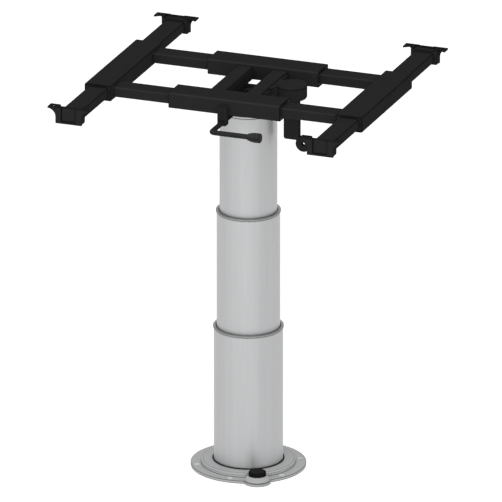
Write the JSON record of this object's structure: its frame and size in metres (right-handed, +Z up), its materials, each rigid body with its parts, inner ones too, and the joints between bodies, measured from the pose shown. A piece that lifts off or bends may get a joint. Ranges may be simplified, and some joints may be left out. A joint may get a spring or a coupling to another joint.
{
  "type": "telescoping table pedestal",
  "caption": "Three-stage telescoping round table pedestal on a floor flange, with a swivelling sliding black frame and corner brackets for a table top.",
  "frame": {"origin": "centre of the underside of the base flange, on the floor", "axes": "+Z up the column; X along the front and rear rails, towards the brake drum; -Y towards the side with the release handle"},
  "size_m": [0.538, 0.528, 0.71],
  "materials": {
    "column_aluminium": "satin clear anodised extruded tube",
    "cast_base": "light grey painted die casting",
    "black_frame": "black powder coat on steel",
    "black_casting": "black powder coat on a casting",
    "black_plastic": "moulded black nylon",
    "black_rubber": "matt black rubber",
    "bright_steel": "ground and polished",
    "zinc_steel": "bright zinc plated"
  },
  "bodies": {
    "base": {"base_plate": "cast_base", "base_seal_ring": "black_rubber", "lower_tube": "column_aluminium", "tube_foot_ring": "zinc_steel", "column_screws": "zinc_steel", "lower_collar": "column_aluminium", "lower_guide_bush": "black_plastic", "lower_gas_rod": "bright_steel", "lower_rod_nut": "zinc_steel", "button_housing": "cast_base", "button_spring": "bright_steel"},
    "button": {"foot_button": "black_rubber", "button_stem": "bright_steel"},
    "middle_stage": {"middle_tube": "column_aluminium", "middle_collar": "column_aluminium", "middle_guide_bush": "black_plastic", "middle_foot_glide": "black_plastic", "middle_floor_plate": "zinc_steel", "lower_gas_cylinder": "zinc_steel", "upper_gas_cylinder": "zinc_steel"},
    "upper_stage": {"upper_tube": "column_aluminium", "upper_foot_glide": "black_plastic", "head_plate": "zinc_steel", "swivel_post": "bright_steel", "swivel_washer": "black_plastic", "swivel_nut": "black_frame", "upper_gas_rod": "bright_steel", "upper_rod_nut": "zinc_steel"},
    "top_frame": {"head_hub": "black_frame", "centre_box": "black_frame", "left_cross_beam": "black_frame", "right_cross_beam": "black_frame", "front_rail": "black_frame", "rear_rail": "black_frame", "rail_glides": "black_plastic", "frame_bolts": "zinc_steel", "brake_housing": "black_casting", "brake_cap": "black_casting", "brake_housing_screws": "black_frame", "handle_bracket": "black_frame", "handle_bracket_screws": "black_frame"},
    "handle": {"release_handle_rod": "black_frame", "release_handle_knob": "black_plastic"},
    "brake": {"brake_lever": "black_frame", "brake_spindle": "black_frame"},
    "carriage": {"front_inner_rail": "black_frame", "rear_inner_rail": "black_frame", "left_beam": "black_frame", "right_beam": "black_frame", "beam_glides": "black_plastic"},
    "left_slide_set": {"left_slide": "black_frame", "left_front_bracket": "black_casting", "left_rear_bracket": "black_casting", "left_bracket_screws": "zinc_steel"},
    "right_slide_set": {"right_slide": "black_frame", "right_front_bracket": "black_casting", "right_rear_bracket": "black_casting", "right_bracket_screws": "zinc_steel"}
  },
  "joints": [
    {"name": "middle_lift", "type": "slide", "parent": "base", "child": "middle_stage", "axis": [0, 0, 1], "range_m": [-0.2075, 0]},
    {"name": "upper_lift", "type": "slide", "parent": "middle_stage", "child": "upper_stage", "axis": [0, 0, 1], "range_m": [-0.1865, 0]},
    {"name": "frame_swivel", "type": "hinge", "parent": "upper_stage", "child": "top_frame", "pos_m": [0, 0, 0.668], "axis": [0, 0, 1], "continuous": true},
    {"name": "sideways_slide", "type": "slide", "parent": "top_frame", "child": "carriage", "axis": [1, 0, 0], "range_m": [-0.095, 0.095]},
    {"name": "left_lengthwise_slide", "type": "slide", "parent": "carriage", "child": "left_slide_set", "axis": [0, 1, 0], "range_m": [-0.11, 0.11]},
    {"name": "right_lengthwise_slide", "type": "slide", "parent": "carriage", "child": "right_slide_set", "axis": [0, 1, 0], "range_m": [-0.11, 0.11]},
    {"name": "brake_turn", "type": "hinge", "parent": "top_frame", "child": "brake", "pos_m": [0.0805, 0, 0.66], "axis": [0, 0, 1], "range_deg": [0, 90]},
    {"name": "handle_turn", "type": "hinge", "parent": "top_frame", "child": "handle", "pos_m": [0, -0.15, 0.6685], "axis": [0, 1, 0], "range_deg": [0, 60]},
    {"name": "button_press", "type": "slide", "parent": "base", "child": "button", "axis": [0, 0, 1], "range_m": [-0.004, 0], "stiffness_N_per_m": 1500, "springref_m": 0.002, "deforming": ["button_spring"]}
  ],
  "couplings": [
    {"joint": "right_lengthwise_slide", "follows": "left_lengthwise_slide", "ratio": 1}
  ]
}
